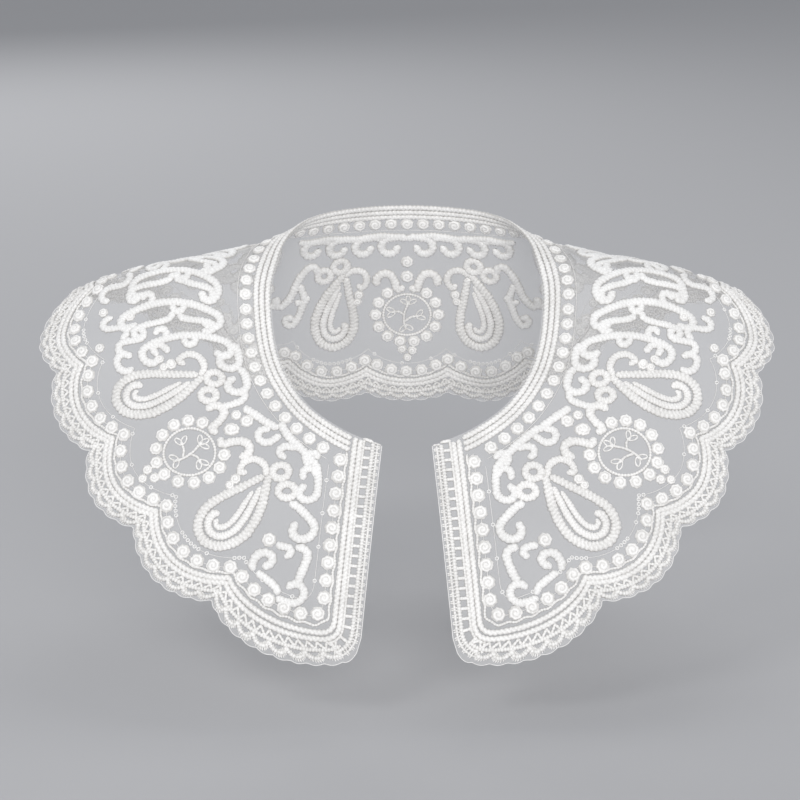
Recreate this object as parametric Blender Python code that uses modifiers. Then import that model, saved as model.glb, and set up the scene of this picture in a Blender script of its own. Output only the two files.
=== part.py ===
"""Lace collar: one scalloped organza wall with corded embroidery lying on its outer face.

Metres, +Z up, the neck opening round the origin, the front opening towards -Y.
A place on the cloth is (j, v): j counts scallops from the centre back, positive to the
wearer's left, and v runs from the neck edge (0) to the hem (1).
"""
import math

import bmesh
import bpy
from mathutils import Vector

MM = 0.001
ORGANZA_COLOUR = (0.86, 0.85, 0.84, 1.0)
CORD_COLOUR = (0.9, 0.88, 0.86, 1.0)

# Cloth
CLOTH_THICKNESS = 1.0
FRONT_J = 9.5
CLOTH_STEPS_PER_SCALLOP = 5
CLOTH_STEPS_DOWN = 7
CORNER_CUT = 5.0
CORNER_REACH_J = 0.16
CENTRE_OF_FIGURE = Vector((0.0, 5.0, -60.0))

# Form of the cloth, one row per section of half the collar, in mm.
# j, neck edge x y z, hem x y z, swell of the section outwards
FORM = (
    (0.0, 0, 62, 50, 0, 88, -60, 3),
    (1.5, 40, 53, 48, 67, 84, -54, 4),
    (3.0, 59, 29, 42, 122, 68, -18, 10),
    (4.5, 67, 4, 23, 169, 28, 11, 12),
    (5.5, 66, -14, 3, 180, -10, -10, 9),
    (6.5, 60, -32, -13, 162, -43, -47, 7),
    (7.5, 48, -48, -26, 138, -75, -78, 5),
    (8.5, 31, -60, -35, 97, -99, -111, 4),
    (9.5, 12, -68, -41, 23, -113, -137, 3),
)

# Scalloped hem: j of the cusps of half the collar, from the centre back to the front edge,
# then back and front values in mm of how far the cusps stand in from the hem points, the rise
# of a scallop, and what the rise gains per mm of inset. The last scallop hangs lower.
CUSPS = (0.5, 1.5, 2.58, 3.67, 4.75, 5.77, 6.66, 7.61, 8.54, 9.5)
CUSP_DROP = (2.5, 4.5)
SCALLOP_RISE = (5.5, 8.5)
RISE_GAIN = (0.15, 0.05)
LAST_SCALLOP_EXTRA = 4.0
BACK_END_J = 2.5
FRONT_START_J = 6.5

# Embroidery in general
LIFT = 0.7
CORD_HEIGHT = 1.5
CORD_HALF_WIDTH = 2.1
CORD_STEP = 3.6
STEM_BEND = 0.02
CURL_WIDE = 4.6
CURL_TIGHT = 3.4
CURL_LIMIT = 200.0
CURL_STEP = 0.25
SHARP_ANGLE = math.radians(50)

# Border lines that run down one front, along the hem and up the other front, in mm.
# inset, corner rounding, first v
PICOT_LINE = (5.4, 5.0, 0.015)
BAND_LINE = (12.4, 6.0, 0.015)
DISC_LINE = (20.1, 9.0, 0.12)
PICOT_PITCH = 8.4
PICOT_HALF_WIDTH = 3.4
PICOT_SIDE_WIDTH = 2.4
BAND_HALF_WIDTH = 2.5
DISC_PITCH = 8.3
DISC_RADIUS = 3.2
DISC_LINK = 0.7
EDGE_BAND_STEP = 6.5
NECK_BAND_STEP = 5.6
NECK_BAND_INSET = 4.4
NECK_BAND_HALF_WIDTH = 3.2
NECK_DISC_INSET = 11.6
NECK_BAND_FROM_FRONT = 16.2
NECK_DISCS_FROM_FRONT = 25.6

# Wavy garland below the neck discs
GARLAND_INSET = 21.6
GARLAND_WAVE = 2.2
GARLAND_PITCH = 13.6
GARLAND_POINTS = 6
GARLAND_HALF_WIDTH = 1.9
GARLAND_END_J = 6.55

# Paisley, local mm from its tip: a along the collar, b towards the hem, half width
PAISLEY_RIM = (
    (1.0, -3.0, 1.7),
    (-2.6, 3.5, 2.2),
    (-6.6, 11.0, 2.3),
    (-9.6, 20.0, 2.3),
    (-10.4, 29.0, 2.3),
    (-6.9, 37.6, 2.3),
    (0.3, 41.0, 2.3),
    (7.5, 37.6, 2.3),
    (10.4, 29.5, 2.3),
    (8.8, 20.0, 2.2),
    (5.6, 12.0, 1.8),
    (4.2, 7.6, 1.2),
)
PAISLEY_HOOK = (
    (-0.2, 9.4, 1.1),
    (-2.4, 16.0, 2.1),
    (-4.4, 24.0, 2.5),
    (-4.0, 30.4, 2.5),
    (0.6, 34.8, 2.5),
    (4.9, 31.6, 2.3),
    (4.5, 26.8, 1.9),
)
PAISLEY_CROWN = (
    (-7.6, 3.6, 1.7),
    (-11.2, 0.4, 1.9),
    (-10.4, -4.6, 1.9),
    (-4.4, -5.6, 1.9),
    (1.0, -8.8, 1.9),
    (6.8, -6.4, 1.9),
    (11.0, -1.4, 1.9),
    (11.6, 4.0, 2.2),
    (11.2, 8.4, 2.4),
)
# name, j and v of the tip, side that the hook turns to, spread
PAISLEYS = (
    ("back_right", -0.98, 0.383, 1, 1.0),
    ("back_left", 0.98, 0.383, -1, 1.0),
    ("shoulder_right", -6.3, 0.375, 1, 1.1),
    ("shoulder_left", 6.3, 0.375, -1, 1.1),
    ("front_right", -8.17, 0.388, 1, 1.1),
    ("front_left", 8.17, 0.388, -1, 1.1),
)

MEDALLION_INNER_RADIUS = 12.2
MEDALLION_WAIST = 2.6
MEDALLION_LOBE = 5.6
MEDALLION_LOBES = 13
# name, j and v of the centre
MEDALLIONS = (
    ("back", 0.0, 0.575),
    ("right", -7.25, 0.56),
    ("left", 7.25, 0.56),
)

# Scrolls on the left half, each repeated on the right half.
# name, j, mm below the neck edge, heading of the stem in degrees, half stem in mm,
# curl of first end and of last end in degrees
SCROLLS = (
    ("neck_1", 7.36, 22.0, -12, 7.5, 30, 240),
    ("neck_2", 8.20, 20.8, 2, 8.0, 30, 60),
    ("vine_1", 1.77, 58.0, 90, 12.5, -240, 240),
    ("vine_2", 2.25, 53.0, 90, 10.5, -240, 240),
    ("vine_3", 2.73, 49.5, 90, 9.5, -240, 240),
    ("vine_4", 3.20, 49.5, 90, 9.5, -240, 240),
    ("vine_5", 3.67, 51.0, 90, 10.0, -240, 240),
    ("vine_6", 4.13, 54.0, 90, 12.0, -240, 240),
    ("vine_7", 4.60, 55.0, 90, 12.0, -240, 240),
    ("vine_8", 5.06, 57.0, 90, 13.0, -240, 240),
    ("vine_9", 5.52, 56.0, 90, 12.5, -240, 240),
    ("front_1", 8.80, 45.0, 24, 5.0, 60, 280),
    ("heart_1", 8.60, 70.0, 92, 4.0, -250, -250),
    ("heart_2", 8.98, 71.0, 86, 6.0, 250, 220),
)


def rows_of_form():
    """Section rows of the whole collar, from one front edge to the other."""
    mirrored = []
    for row in reversed(FORM[1:]):
        j, nx, ny, nz, hx, hy, hz, swell = row
        mirrored.append((-j, -nx, ny, nz, -hx, hy, hz, swell))
    return tuple(mirrored) + FORM


ROWS = rows_of_form()


def section(j):
    """Neck point, hem point and swell of the section at j."""
    j = min(max(j, -FRONT_J), FRONT_J)
    k = 0
    while k < len(ROWS) - 2 and j > ROWS[k + 1][0]:
        k += 1
    span = ROWS[k + 1][0] - ROWS[k][0]
    t = (j - ROWS[k][0]) / span
    before = ROWS[max(k - 1, 0)]
    after = ROWS[min(k + 2, len(ROWS) - 1)]
    blend = (2 * t**3 - 3 * t**2 + 1, (t**3 - 2 * t**2 + t) * span,
             3 * t**2 - 2 * t**3, (t**3 - t**2) * span)
    values = []
    for c in range(1, 8):
        slope_a = (ROWS[k + 1][c] - before[c]) / (ROWS[k + 1][0] - before[0])
        slope_b = (after[c] - ROWS[k][c]) / (after[0] - ROWS[k][0])
        values.append(blend[0] * ROWS[k][c] + blend[1] * slope_a
                      + blend[2] * ROWS[k + 1][c] + blend[3] * slope_b)
    return Vector(values[0:3]), Vector(values[3:6]), values[6]


def section_depth(j):
    """Distance from neck edge to hem at j."""
    neck, hem, _ = section(j)
    return (hem - neck).length


def along(j, v):
    """Change of place per scallop along the collar."""
    low = max(j - 0.05, -FRONT_J)
    high = min(j + 0.05, FRONT_J)
    neck_a, hem_a, _ = section(low)
    neck_b, hem_b, _ = section(high)
    return ((neck_b - neck_a) * (1 - v) + (hem_b - hem_a) * v) / (high - low)


def outward(j, v):
    """Unit vector out of the cloth at (j, v)."""
    neck, hem, _ = section(j)
    normal = (hem - neck).cross(along(j, min(max(v, 0.0), 1.0)))
    normal.normalize()
    middle = neck.lerp(hem, 0.5)
    if normal.dot(middle - CENTRE_OF_FIGURE) < 0:
        normal.negate()
    return normal


def place(j, v, off=0.0):
    """Point of the cloth's middle surface at (j, v), moved out by off."""
    neck, hem, swell = section(j)
    across = outward(j, 0.5)
    return neck.lerp(hem, v) + across * (swell * 4 * v * (1 - v)) + outward(j, v) * off


def shifted(spot, side, distance):
    """(j, v) of a point a distance to the side of a spot on the cloth."""
    j, v = spot
    neck, hem, _ = section(j)
    down = hem - neck
    run = along(j, v)
    a, b, c = run.dot(run), run.dot(down), down.dot(down)
    p, q = run.dot(side) * distance, down.dot(side) * distance
    scale = a * c - b * b
    return j + (p * c - q * b) / scale, v + (q * a - p * b) / scale


def lobe(j):
    """One in the middle of a scallop and zero at its cusps."""
    j = min(abs(j), FRONT_J)
    if j < CUSPS[0]:
        share = 0.5 + 0.5 * j / CUSPS[0]
    else:
        k = 0
        while k < len(CUSPS) - 2 and j > CUSPS[k + 1]:
            k += 1
        share = (j - CUSPS[k]) / (CUSPS[k + 1] - CUSPS[k])
    return math.sin(math.pi * share) ** 0.8 if 0 < share < 1 else 0.0


def hem_v(j, inset):
    """v of a line that follows the scalloped hem at an inset."""
    t = min(max((abs(j) - BACK_END_J) / (FRONT_START_J - BACK_END_J), 0), 1)
    share = t * t * (3 - 2 * t)
    drop, rise, gain = (a + (b - a) * share for a, b in (CUSP_DROP, SCALLOP_RISE, RISE_GAIN))
    if abs(j) > CUSPS[-2]:
        rise += LAST_SCALLOP_EXTRA * (1 - inset / DISC_LINE[0])
    return 1 + ((rise + gain * inset) * lobe(j) - drop - inset) / section_depth(j)


def front_j(v, inset):
    """j of a line that runs down the front at an inset from the front edge."""
    j = FRONT_J
    for _ in range(3):
        j = FRONT_J - inset / along((FRONT_J + j) / 2, v).length
    return j


def resample(points, step):
    """Path of (j, v) at even steps along the cloth."""
    spots = [place(*p) for p in points]
    reach = [0.0]
    for a, b in zip(spots, spots[1:]):
        reach.append(reach[-1] + (b - a).length)
    count = max(2, round(reach[-1] / step))
    path = []
    k = 0
    for i in range(count + 1):
        goal = reach[-1] * i / count
        while k < len(reach) - 2 and reach[k + 1] < goal:
            k += 1
        t = (goal - reach[k]) / (reach[k + 1] - reach[k])
        path.append((points[k][0] + (points[k + 1][0] - points[k][0]) * t,
                     points[k][1] + (points[k + 1][1] - points[k][1]) * t))
    return path


def rounded(path, reach):
    """Path with its corners eased over reach steps each side."""
    eased = []
    for i in range(len(path)):
        n = min(reach, i, len(path) - 1 - i)
        window = path[i - n:i + n + 1]
        eased.append((sum(p[0] for p in window) / len(window),
                      sum(p[1] for p in window) / len(window)))
    return eased


def border(line):
    """Fine path down the right front, along the hem and up the left front."""
    inset, corner, v_top = line
    j_corner = FRONT_J
    for _ in range(6):
        v_corner = hem_v(j_corner, inset)
        j_corner = front_j(v_corner, inset)
    down = []
    for i in range(61):
        v = v_top + (v_corner - v_top) * i / 60
        down.append((-front_j(v, inset), v))
    hem = []
    for i in range(1, 761):
        j = -j_corner + 2 * j_corner * i / 761
        hem.append((j, hem_v(j, inset)))
    up = [(-j, v) for j, v in reversed(down)]
    path = resample(down + hem + up, 1.0)
    first_turn = len(resample(down, 1.0)) - 1
    last_turn = len(path) - 1 - first_turn
    eased = rounded(path, round(corner))
    result = []
    for i, spot in enumerate(path):
        near = min(abs(i - first_turn), abs(i - last_turn))
        share = min(max(2 - near / (corner * 1.2), 0), 1)
        result.append((spot[0] + (eased[i][0] - spot[0]) * share,
                       spot[1] + (eased[i][1] - spot[1]) * share))
    return result


def add_object(name, verts, faces, material, collection):
    """Smooth shaded object from points in mm, with its faces turned outwards."""
    mesh = bpy.data.meshes.new(name)
    mesh.from_pydata([Vector(p) * MM for p in verts], [], faces)
    shell = bmesh.new()
    shell.from_mesh(mesh)
    bmesh.ops.recalc_face_normals(shell, faces=shell.faces)
    shell.to_mesh(mesh)
    shell.free()
    mesh.materials.append(material)
    mesh.shade_smooth()
    mesh.set_sharp_from_angle(angle=SHARP_ANGLE)
    obj = bpy.data.objects.new(name, mesh)
    collection.objects.link(obj)
    return obj


def fabric(name, colour, roughness):
    """Plain fabric material."""
    material = bpy.data.materials.new(name)
    material.use_nodes = True
    shader = material.node_tree.nodes["Principled BSDF"]
    shader.inputs["Base Color"].default_value = colour
    shader.inputs["Roughness"].default_value = roughness
    shader.inputs["Metallic"].default_value = 0.0
    return material


def swept(name, rings, closed, kit):
    """Solid through rings of points."""
    n = len(rings[0])
    verts = [p for ring in rings for p in ring]
    faces = []
    count = len(rings)
    for i in range(count if closed else count - 1):
        a = i * n
        b = (i + 1) % count * n
        for k in range(n):
            m = (k + 1) % n
            faces.append((a + k, a + m, b + m, b + k))
    if not closed:
        faces.append(tuple(reversed(range(n))))
        faces.append(tuple(range((count - 1) * n, count * n)))
    return add_object(name, verts, faces, *kit)


def strip(name, path, widths, kit, closed=False, flat=False):
    """Corded strip on the outer face along a path of (j, v), widths (left, right) per point."""
    base = CLOTH_THICKNESS / 2 + LIFT
    crest = base + CORD_HEIGHT
    count = len(path)
    rings = []
    for i, spot in enumerate(path):
        if closed:
            ahead, behind = path[(i + 1) % count], path[i - 1]
        else:
            ahead, behind = path[min(i + 1, count - 1)], path[max(i - 1, 0)]
        tangent = (place(*ahead) - place(*behind)).normalized()
        up = outward(*spot)
        side = up.cross(tangent).normalized()
        left, right = widths[i]
        ring = [place(*shifted(spot, side, left), base), place(*shifted(spot, side, -right), base)]
        if flat:
            ring.append(place(*shifted(spot, side, -right * 0.7), crest))
            ring.append(place(*shifted(spot, side, left * 0.7), crest))
        else:
            ring.append(place(*shifted(spot, side, (left - right) / 2), crest))
        rings.append(ring)
    return swept(name, rings, closed, kit)


def curve(points, step):
    """Smooth local curve through table rows (a, b, half width) at even steps."""
    fine = []
    for i in range(len(points) - 1):
        p0 = points[max(i - 1, 0)]
        p1, p2 = points[i], points[i + 1]
        p3 = points[min(i + 2, len(points) - 1)]
        for s in range(8):
            t = s / 8
            fine.append([0.5 * (2 * b + (c - a) * t + (2 * a - 5 * b + 4 * c - d) * t**2
                                + (3 * b - a - 3 * c + d) * t**3)
                         for a, b, c, d in zip(p0, p1, p2, p3)])
    fine.append(list(points[-1]))
    reach = [0.0]
    for a, b in zip(fine, fine[1:]):
        reach.append(reach[-1] + math.dist(a[:2], b[:2]))
    count = max(3, round(reach[-1] / step))
    result = []
    k = 0
    for i in range(count + 1):
        goal = reach[-1] * i / count
        while k < len(reach) - 2 and reach[k + 1] < goal:
            k += 1
        t = (goal - reach[k]) / (reach[k + 1] - reach[k])
        result.append([x + (y - x) * t for x, y in zip(fine[k], fine[k + 1])])
    return result


def laid(j, v, a, b):
    """(j, v) of local mm a, b round an anchor."""
    v_there = v + b / section_depth(j)
    return j + a / along(j, v_there).length, v_there


def motif(name, rows, spot, kit):
    """Corded strip along a table of local points."""
    j, v, turn, spread = spot
    shape = curve(rows, CORD_STEP)
    path = [laid(j, v, turn * a * spread, b) for a, b, _ in shape]
    strip(name, path, [(w, w) for _, _, w in shape], kit)


def scroll(name, spot, kit):
    """Cord whose stem curls up at both ends."""
    j, below_neck, heading, stem, first, last = spot
    path = [(0.0, 0.0)]
    for curl, direction in ((last, 1), (first, -1)):
        angle = math.radians(heading)
        goal = math.radians(abs(curl))
        turned = length = x = y = 0.0
        side = []
        while turned < min(goal, math.radians(CURL_LIMIT)):
            radius = CURL_WIDE + (CURL_TIGHT - CURL_WIDE) * turned / goal
            bend = STEM_BEND if length < stem else 1 / radius
            turned += bend * CURL_STEP
            length += CURL_STEP
            angle += math.copysign(bend * CURL_STEP, curl) * direction
            x += math.cos(angle) * CURL_STEP * direction
            y += math.sin(angle) * CURL_STEP * direction
            side.append((x, y))
        path = path + side if direction > 0 else list(reversed(side)) + path
    count = round((len(path) - 1) * CURL_STEP / CORD_STEP)
    picked = [path[round(i * (len(path) - 1) / count)] for i in range(count + 1)]
    v = below_neck / section_depth(j)
    spots = [laid(j, v, a, b) for a, b in picked]
    strip(name, spots, [(CORD_HALF_WIDTH, CORD_HALF_WIDTH)] * len(spots), kit)


def medallion(name, j, v, kit):
    """Ring of discs round an open centre."""
    path = []
    widths = []
    count = MEDALLION_LOBES * 4
    for i in range(count):
        angle = 2 * math.pi * i / count
        radius = MEDALLION_INNER_RADIUS + MEDALLION_WAIST / 2
        path.append(laid(j, v, radius * math.cos(angle), radius * math.sin(angle)))
        outer = MEDALLION_WAIST if i % 4 in (0, 3) else MEDALLION_LOBE
        widths.append((MEDALLION_WAIST / 2, outer))
    strip(name, path, widths, kit, closed=True)


def discs(path_fine, start=0.0):
    """Path and widths of a row of discs joined by a thin cord."""
    path = resample(path_fine, 0.25)
    spots = [place(*p) for p in path]
    length = sum((b - a).length for a, b in zip(spots, spots[1:]))
    count = round((length - 2 * start) / DISC_PITCH)
    pitch = (length - 2 * start) / count
    per_mm = (len(path) - 1) / length
    places = []
    widths = []
    for i in range(count):
        for share, width in ((0.12, DISC_LINK), (0.31, DISC_RADIUS), (0.69, DISC_RADIUS),
                             (0.88, DISC_LINK)):
            places.append(path[round((start + (i + share) * pitch) * per_mm)])
            widths.append((width, width))
    return places, widths


def build_cloth(kit):
    """The organza wall with its scalloped hem."""
    cusps = [-j for j in reversed(CUSPS)] + list(CUSPS)
    stations = [cusps[0]]
    for a, b in zip(cusps, cusps[1:]):
        for i in range(1, CLOTH_STEPS_PER_SCALLOP + 1):
            stations.append(a + (b - a) * i / CLOTH_STEPS_PER_SCALLOP)
    columns = len(stations) - 1
    verts = []
    for j in stations:
        reach = hem_v(j, 0.0)
        near_front = min(1.0, (FRONT_J - abs(j)) / CORNER_REACH_J)
        reach -= CORNER_CUT * (1 - near_front) / section_depth(j)
        for k in range(CLOTH_STEPS_DOWN + 1):
            verts.append(place(j, reach * k / CLOTH_STEPS_DOWN))
    faces = []
    row = CLOTH_STEPS_DOWN + 1
    for i in range(columns):
        for k in range(CLOTH_STEPS_DOWN):
            a = i * row + k
            faces.append((a, a + 1, a + row + 1, a + row))
    cloth = add_object("ground_cloth", verts, faces, *kit)
    wall = cloth.modifiers.new("wall", "SOLIDIFY")
    wall.thickness = CLOTH_THICKNESS * MM
    wall.offset = 0.0


def neck_line(inset, from_front):
    """Fine path along the neck edge, ending short of the fronts."""
    limit = front_j(inset / section_depth(FRONT_J), from_front)
    path = []
    for i in range(241):
        j = -limit + 2 * limit * i / 240
        path.append((j, inset / section_depth(j)))
    return path


def garland_path():
    """Wavy path below the neck discs, from one side front to the other."""
    line = []
    for i in range(401):
        j = -GARLAND_END_J + 2 * GARLAND_END_J * i / 400
        line.append((j, GARLAND_INSET / section_depth(j)))
    waves = round(len(resample(line, 1.0)) / GARLAND_PITCH)
    line = resample(line, 0.25)
    path = []
    for i in range(waves * GARLAND_POINTS + 1):
        j, v = line[round(i * (len(line) - 1) / (waves * GARLAND_POINTS))]
        wave = GARLAND_WAVE * math.cos(2 * math.pi * i / GARLAND_POINTS)
        path.append((j, v + wave / section_depth(j)))
    return path


def even(width, path):
    """The same width on both sides all along a path."""
    return [(width, width)] * len(path)


def build_borders(kit):
    """Neck band and disc row, and the bands round the fronts and hem."""
    path = resample(neck_line(NECK_BAND_INSET, NECK_BAND_FROM_FRONT), NECK_BAND_STEP)
    strip("neck_band", path, even(NECK_BAND_HALF_WIDTH, path), kit, flat=True)
    path, widths = discs(neck_line(NECK_DISC_INSET, NECK_DISCS_FROM_FRONT))
    strip("neck_discs", path, widths, kit)

    path = garland_path()
    strip("neck_garland", path, even(GARLAND_HALF_WIDTH, path), kit)

    path = resample(border(BAND_LINE), EDGE_BAND_STEP)
    strip("edge_band", path, even(BAND_HALF_WIDTH, path), kit, flat=True)
    path, widths = discs(border(DISC_LINE))
    strip("edge_discs", path, widths, kit)
    path = resample(border(PICOT_LINE), PICOT_PITCH / 2)
    outer = (PICOT_HALF_WIDTH, PICOT_SIDE_WIDTH)
    widths = [(outer[i % 2], PICOT_SIDE_WIDTH) for i in range(len(path))]
    strip("edge_picots", path, widths, kit)


def build_motifs(kit):
    """Paisleys, medallions and scrolls."""
    for name, *spot in PAISLEYS:
        motif("paisley_rim_" + name, PAISLEY_RIM, spot, kit)
        motif("paisley_hook_" + name, PAISLEY_HOOK, spot, kit)
        motif("paisley_crown_" + name, PAISLEY_CROWN, spot, kit)
    for name, j, v in MEDALLIONS:
        medallion("medallion_" + name, j, v, kit)
    for name, j, below, heading, stem, first, last in SCROLLS:
        scroll("scroll_%s_left" % name, (j, below, heading, stem, first, last), kit)
        scroll("scroll_%s_right" % name, (-j, below, 180 - heading, stem, -first, -last), kit)


def main():
    """Build every solid."""
    for obj in list(bpy.data.objects):
        bpy.data.objects.remove(obj, do_unlink=True)
    collection = bpy.data.collections.new("lace_collar")
    bpy.context.scene.collection.children.link(collection)
    build_cloth((fabric("organza", ORGANZA_COLOUR, 0.6), collection))
    cord_kit = (fabric("cord", CORD_COLOUR, 0.85), collection)
    build_borders(cord_kit)
    build_motifs(cord_kit)


main()
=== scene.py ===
"""Looks of the lace collar: sheer organza with corded embroidery, held up as when worn.

A place on the cloth is (j, v): j counts scallops from the centre back, positive to the
wearer's left, and v runs from the neck edge (0) to the hem (1). Sizes are in millimetres
until a mesh is made.
"""
import math

import bpy
import numpy as np
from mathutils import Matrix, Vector


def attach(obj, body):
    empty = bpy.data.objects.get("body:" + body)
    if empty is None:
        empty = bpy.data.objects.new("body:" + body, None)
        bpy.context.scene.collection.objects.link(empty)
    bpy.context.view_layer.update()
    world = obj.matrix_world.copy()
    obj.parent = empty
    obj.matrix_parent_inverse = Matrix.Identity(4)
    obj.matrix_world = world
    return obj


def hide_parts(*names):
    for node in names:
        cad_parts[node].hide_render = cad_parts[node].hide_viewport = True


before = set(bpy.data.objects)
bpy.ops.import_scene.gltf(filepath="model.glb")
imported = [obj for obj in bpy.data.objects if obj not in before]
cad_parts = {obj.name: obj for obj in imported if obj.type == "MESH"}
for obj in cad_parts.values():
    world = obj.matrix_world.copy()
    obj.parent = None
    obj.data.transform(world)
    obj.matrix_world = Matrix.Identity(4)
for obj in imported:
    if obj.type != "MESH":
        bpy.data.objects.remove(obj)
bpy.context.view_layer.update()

MM = 0.001
FRONT_J = 9.5
CENTRE_OF_FIGURE = np.array((0.0, 5.0, -60.0))

# Scalloped hem: j of the cusps of half the collar, from the centre back to the front edge,
# then back and front values in mm of how far the cusps stand in from the hem points, the rise
# of a scallop, and what the rise gains per mm of inset. The last scallop hangs lower.
CUSPS = (0.5, 1.5, 2.58, 3.67, 4.75, 5.77, 6.66, 7.61, 8.54, 9.5)
CUSP_DROP = (2.5, 4.5)
SCALLOP_RISE = (5.5, 8.5)
RISE_GAIN = (0.15, 0.05)
LAST_SCALLOP_EXTRA = 4.0
BACK_END_J = 2.5
FRONT_START_J = 6.5
CORNER_RADIUS = 9.0
DISC_INSET = 20.1
PICOT_PITCH = 8.4
DISC_PITCH = 8.3

# Mesh of the cloth, and the small waves of its cut edge: how far they stand out and in, mm
CLOTH_COLUMNS = 951
CLOTH_ROWS = 32
FRONT_SAMPLES = 60
PICOT_RISE = 1.1
PICOT_SET_IN = 1.0

CAMERA_DISTANCE = 1.25
CAMERA_ELEVATION = 14.0
CAMERA_LENS = 112.5
CAMERA_SHIFT = (-0.00875, -0.09)
FLOOR_Z = -0.165
FLOOR_HALF = 12
FLOOR_COLOUR = (0.47, 0.47, 0.48)
WORLD_COLOUR = (0.80, 0.82, 0.86)
WORLD_STRENGTH = 0.60

# Soft lights, in metres and watts: name, place, point that it faces, size, power
LIGHTS = (
    ("key", (-0.8, -1.0, 1.1), (0, 0, -0.03), 0.5, 4),
    ("front", (0.5, -3.4, 1.0), (0, 0.05, -0.03), 1.8, 78),
    ("top", (0.2, 0.6, 1.3), (0, 0, 0), 0.7, 3),
    ("back", (-0.7, 1.9, 0.9), (0, 0, -0.03), 1.0, 9),
)

# Form of the cloth, one row per section of half the collar.
# j, neck edge x y z, hem x y z, swell of the section outwards
FORM = (
    (0.0, 0, 62, 50, 0, 88, -60, 3),
    (1.5, 40, 53, 48, 67, 84, -54, 4),
    (3.0, 59, 29, 42, 122, 68, -18, 10),
    (4.5, 67, 4, 23, 169, 28, 11, 12),
    (5.5, 66, -14, 3, 180, -10, -10, 9),
    (6.5, 60, -32, -13, 162, -43, -47, 7),
    (7.5, 48, -48, -26, 138, -75, -78, 5),
    (8.5, 31, -60, -35, 97, -99, -111, 4),
    (9.5, 12, -68, -41, 23, -113, -137, 3),
)

# Soft folds: j, v, half length along v, half width in j, height (a trough is negative)
FOLDS = (
    (4.75, 0.80, 0.45, 0.22, 1.6),
    (5.25, 0.75, 0.50, 0.20, -1.5),
    (3.90, 0.60, 0.50, 0.22, -1.3),
    (3.40, 0.70, 0.45, 0.22, 1.3),
    (2.60, 0.75, 0.50, 0.25, -1.2),
    (6.60, 0.85, 0.40, 0.26, 1.2),
    (7.50, 0.90, 0.35, 0.24, -1.2),
    (8.60, 0.90, 0.45, 0.22, 1.3),
    (9.25, 0.85, 0.60, 0.18, -1.4),
    (-4.70, 0.78, 0.45, 0.22, 1.5),
    (-5.20, 0.78, 0.50, 0.20, -1.6),
    (-4.00, 0.60, 0.50, 0.22, -1.3),
    (-3.30, 0.70, 0.45, 0.22, 1.2),
    (-2.50, 0.75, 0.50, 0.25, -1.2),
    (-6.50, 0.85, 0.40, 0.26, 1.3),
    (-7.60, 0.90, 0.35, 0.24, -1.1),
    (-8.50, 0.90, 0.45, 0.22, 1.4),
    (-9.20, 0.85, 0.60, 0.18, -1.5),
    (0.00, 1.00, 0.30, 0.30, 1.4),
    (1.00, 1.00, 0.30, 0.22, -1.2),
    (-1.00, 1.00, 0.30, 0.22, -1.2),
)


def rows_of_form():
    """Section rows of the whole collar, from one front edge to the other."""
    rows = np.array(FORM, dtype=float)
    mirrored = rows[:0:-1] * np.array((-1, -1, 1, 1, -1, 1, 1, 1))
    return np.vstack((mirrored, rows))


ROWS = rows_of_form()
KNOTS = ROWS[:, 0]
TANGENTS = np.array([
    (ROWS[min(k + 1, len(ROWS) - 1), 1:] - ROWS[max(k - 1, 0), 1:])
    / (KNOTS[min(k + 1, len(ROWS) - 1)] - KNOTS[max(k - 1, 0)])
    for k in range(len(ROWS))])


def sections(j):
    """Neck points, hem points and swells of the sections at j."""
    j = np.clip(j, -FRONT_J, FRONT_J)
    k = np.clip(np.searchsorted(KNOTS, j, side="right") - 1, 0, len(KNOTS) - 2)
    span = KNOTS[k + 1] - KNOTS[k]
    t = ((j - KNOTS[k]) / span)[:, None]
    span = span[:, None]
    values = ((2 * t**3 - 3 * t**2 + 1) * ROWS[k, 1:]
              + (t**3 - 2 * t**2 + t) * span * TANGENTS[k]
              + (3 * t**2 - 2 * t**3) * ROWS[k + 1, 1:]
              + (t**3 - t**2) * span * TANGENTS[k + 1])
    return values[:, 0:3], values[:, 3:6], values[:, 6:7]


def unit(a):
    """Rows of a at length one."""
    return a / np.maximum(np.linalg.norm(a, axis=1, keepdims=True), 1e-9)


def depth(j):
    """Distance from neck edge to hem at j."""
    neck, hem, _ = sections(np.atleast_1d(j))
    return np.linalg.norm(hem - neck, axis=1)


def run_per_scallop(j, v):
    """Length of one scallop along the collar at (j, v)."""
    low = np.maximum(j - 0.05, -FRONT_J)
    high = np.minimum(j + 0.05, FRONT_J)
    neck_a, hem_a, _ = sections(low)
    neck_b, hem_b, _ = sections(high)
    v = v[:, None]
    change = (neck_b - neck_a) * (1 - v) + (hem_b - hem_a) * v
    return np.linalg.norm(change, axis=1) / np.maximum(high - low, 1e-6)


def bulge_direction(j):
    """Unit vectors out of the middle of each section."""
    low = np.maximum(j - 0.05, -FRONT_J)
    high = np.minimum(j + 0.05, FRONT_J)
    neck_a, hem_a, _ = sections(low)
    neck_b, hem_b, _ = sections(high)
    neck, hem, _ = sections(j)
    along = neck_b + hem_b - neck_a - hem_a
    normal = unit(np.cross(hem - neck, along))
    facing = np.sum(normal * ((neck + hem) / 2 - CENTRE_OF_FIGURE), axis=1)
    return normal * np.where(facing < 0, -1.0, 1.0)[:, None]


def relief(j, v):
    """Height of the soft folds at (j, v)."""
    height = np.zeros_like(j)
    for fold_j, fold_v, half_v, half_j, rise in FOLDS:
        height += rise * np.exp(-((j - fold_j) / half_j)**2 - ((v - fold_v) / half_v)**2)
    return height


def middle(j, v):
    """Points of the cloth's middle surface."""
    neck, hem, swell = sections(j)
    v1 = v[:, None]
    rise = swell * 4 * v1 * (1 - v1) + relief(j, v)[:, None]
    return neck + (hem - neck) * v1 + bulge_direction(j) * rise


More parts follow.
